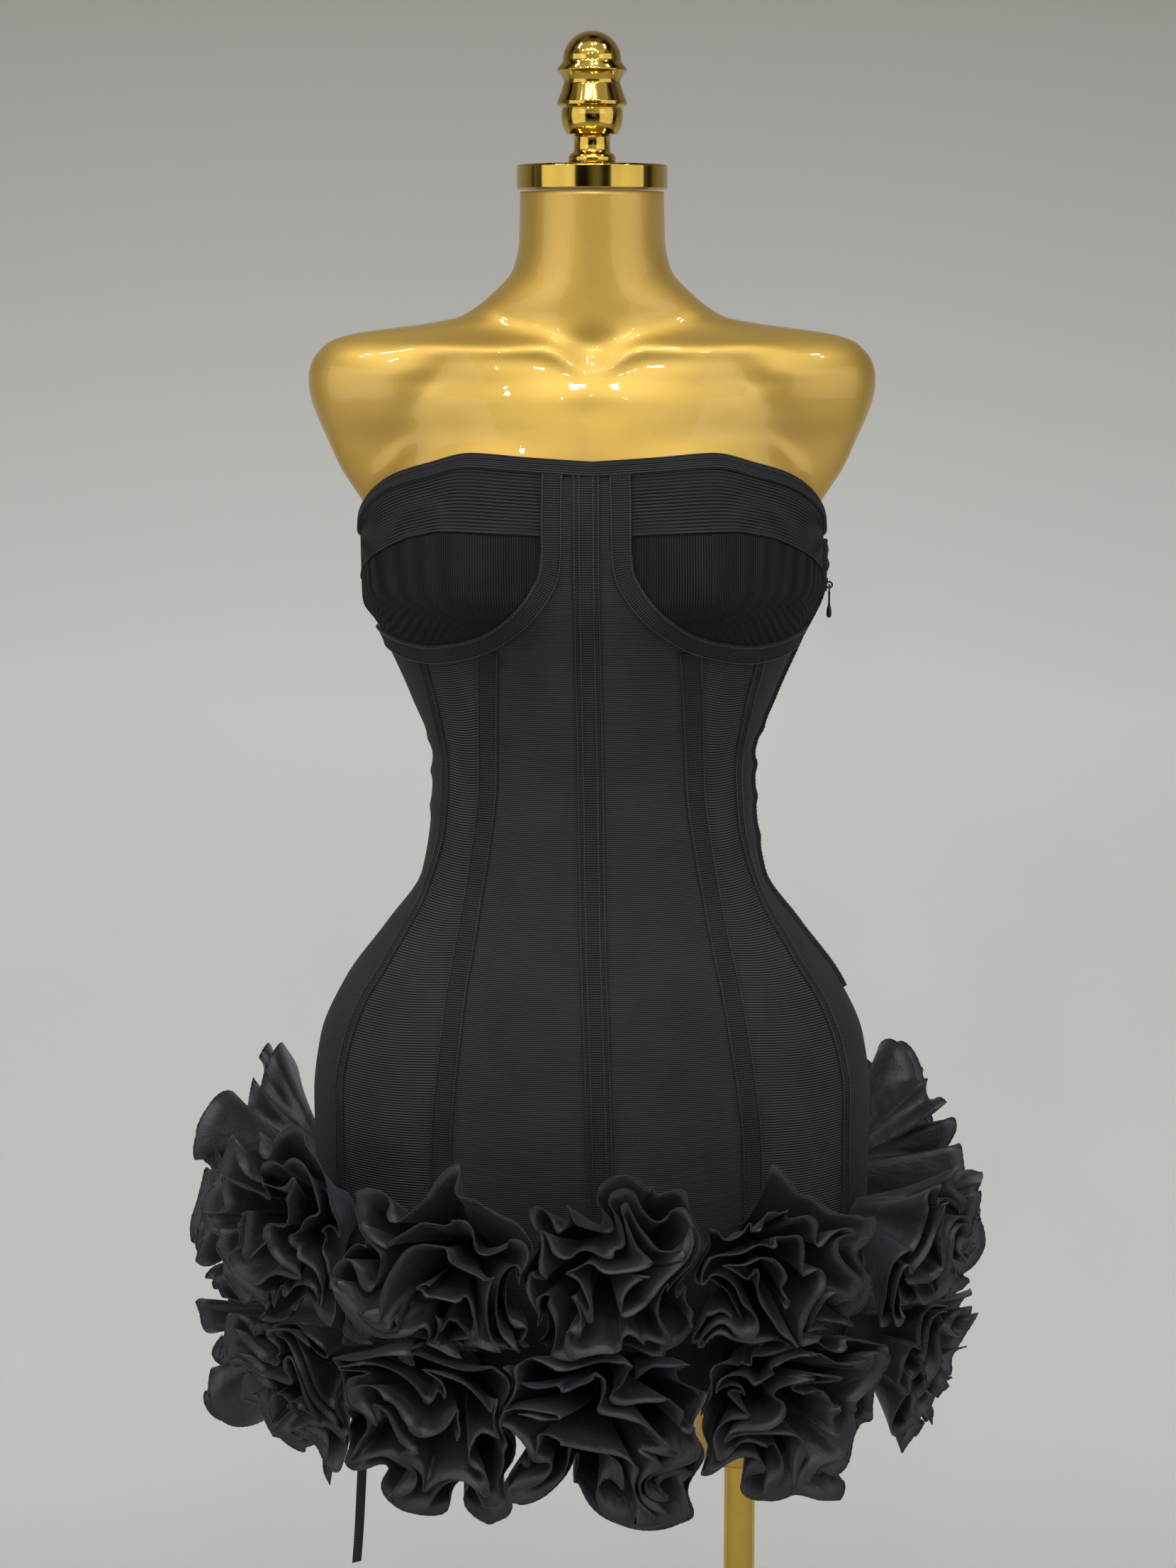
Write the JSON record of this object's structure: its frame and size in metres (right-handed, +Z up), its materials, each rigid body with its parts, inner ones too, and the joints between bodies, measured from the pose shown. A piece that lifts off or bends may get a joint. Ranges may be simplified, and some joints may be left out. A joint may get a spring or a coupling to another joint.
{
  "type": "bodycon dress on a dress form",
  "caption": "Strapless panelled bodycon mini dress with moulded cups and ruffled rosettes round its hem, on a limbless dress form with a finial, pole and round base.",
  "frame": {"origin": "on the floor, at the middle of the base plate's underside, under the middle of the dress form", "axes": "+Z up, the dress faces -Y, the wearer's left side with the zip is towards +X"},
  "size_m": [0.5482, 0.4062, 1.5287],
  "materials": {
    "rib_knit": "matte fine horizontal rib with a slight sheen",
    "cup_band_knit": "matte coarse horizontal rib",
    "lower_cup_knit": "matte vertical rib",
    "tape_knit": "matte lengthwise rib with stitched edges",
    "petal_cloth": "soft satin-faced cloth with an overlocked edge",
    "zip_metal": "gloss black",
    "gold_paint": "gloss metallic gold",
    "gold_metal": "polished gold"
  },
  "bodies": {
    "dress": {"front_centre_panel_left": "rib_knit", "front_centre_panel_right": "rib_knit", "front_side_panel_left": "rib_knit", "front_side_panel_right": "rib_knit", "side_panel_left": "rib_knit", "side_panel_right": "rib_knit", "back_panel_left": "rib_knit", "back_panel_right": "rib_knit", "upper_cup_band_left": "cup_band_knit", "upper_cup_band_right": "cup_band_knit", "lower_cup_left": "lower_cup_knit", "lower_cup_right": "lower_cup_knit", "cup_tape_left": "tape_knit", "cup_tape_right": "tape_knit", "centre_channel": "tape_knit", "princess_channel_left": "tape_knit", "princess_channel_right": "tape_knit", "outer_channel_left": "tape_knit", "outer_channel_right": "tape_knit", "neckline_binding": "tape_knit", "hem_ribbon": "tape_knit", "zip_tape": "tape_knit", "rosette_upper_01": "petal_cloth", "rosette_upper_02": "petal_cloth", "rosette_upper_03": "petal_cloth", "rosette_upper_04": "petal_cloth", "rosette_upper_05": "petal_cloth", "rosette_upper_06": "petal_cloth", "rosette_upper_07": "petal_cloth", "rosette_upper_08": "petal_cloth", "rosette_upper_09": "petal_cloth", "rosette_upper_10": "petal_cloth", "rosette_lower_01": "petal_cloth", "rosette_lower_02": "petal_cloth", "rosette_lower_03": "petal_cloth", "rosette_lower_04": "petal_cloth", "rosette_lower_05": "petal_cloth", "rosette_lower_06": "petal_cloth", "rosette_lower_07": "petal_cloth", "rosette_lower_08": "petal_cloth", "rosette_lower_09": "petal_cloth", "rosette_lower_10": "petal_cloth", "zip_slider": "zip_metal", "display_form": "gold_paint", "pole_socket": "gold_paint", "neck_cap": "gold_metal", "finial": "gold_metal", "pole": "gold_metal", "base_plate": "gold_metal"},
    "zip_pull": {"zip_pull": "zip_metal"}
  },
  "joints": [
    {"name": "pull_swing", "type": "hinge", "parent": "dress", "child": "zip_pull", "pos_m": [0.16085, 0, 1.1625], "axis": [0, 1, 0], "range_deg": [-150, 6]}
  ]
}
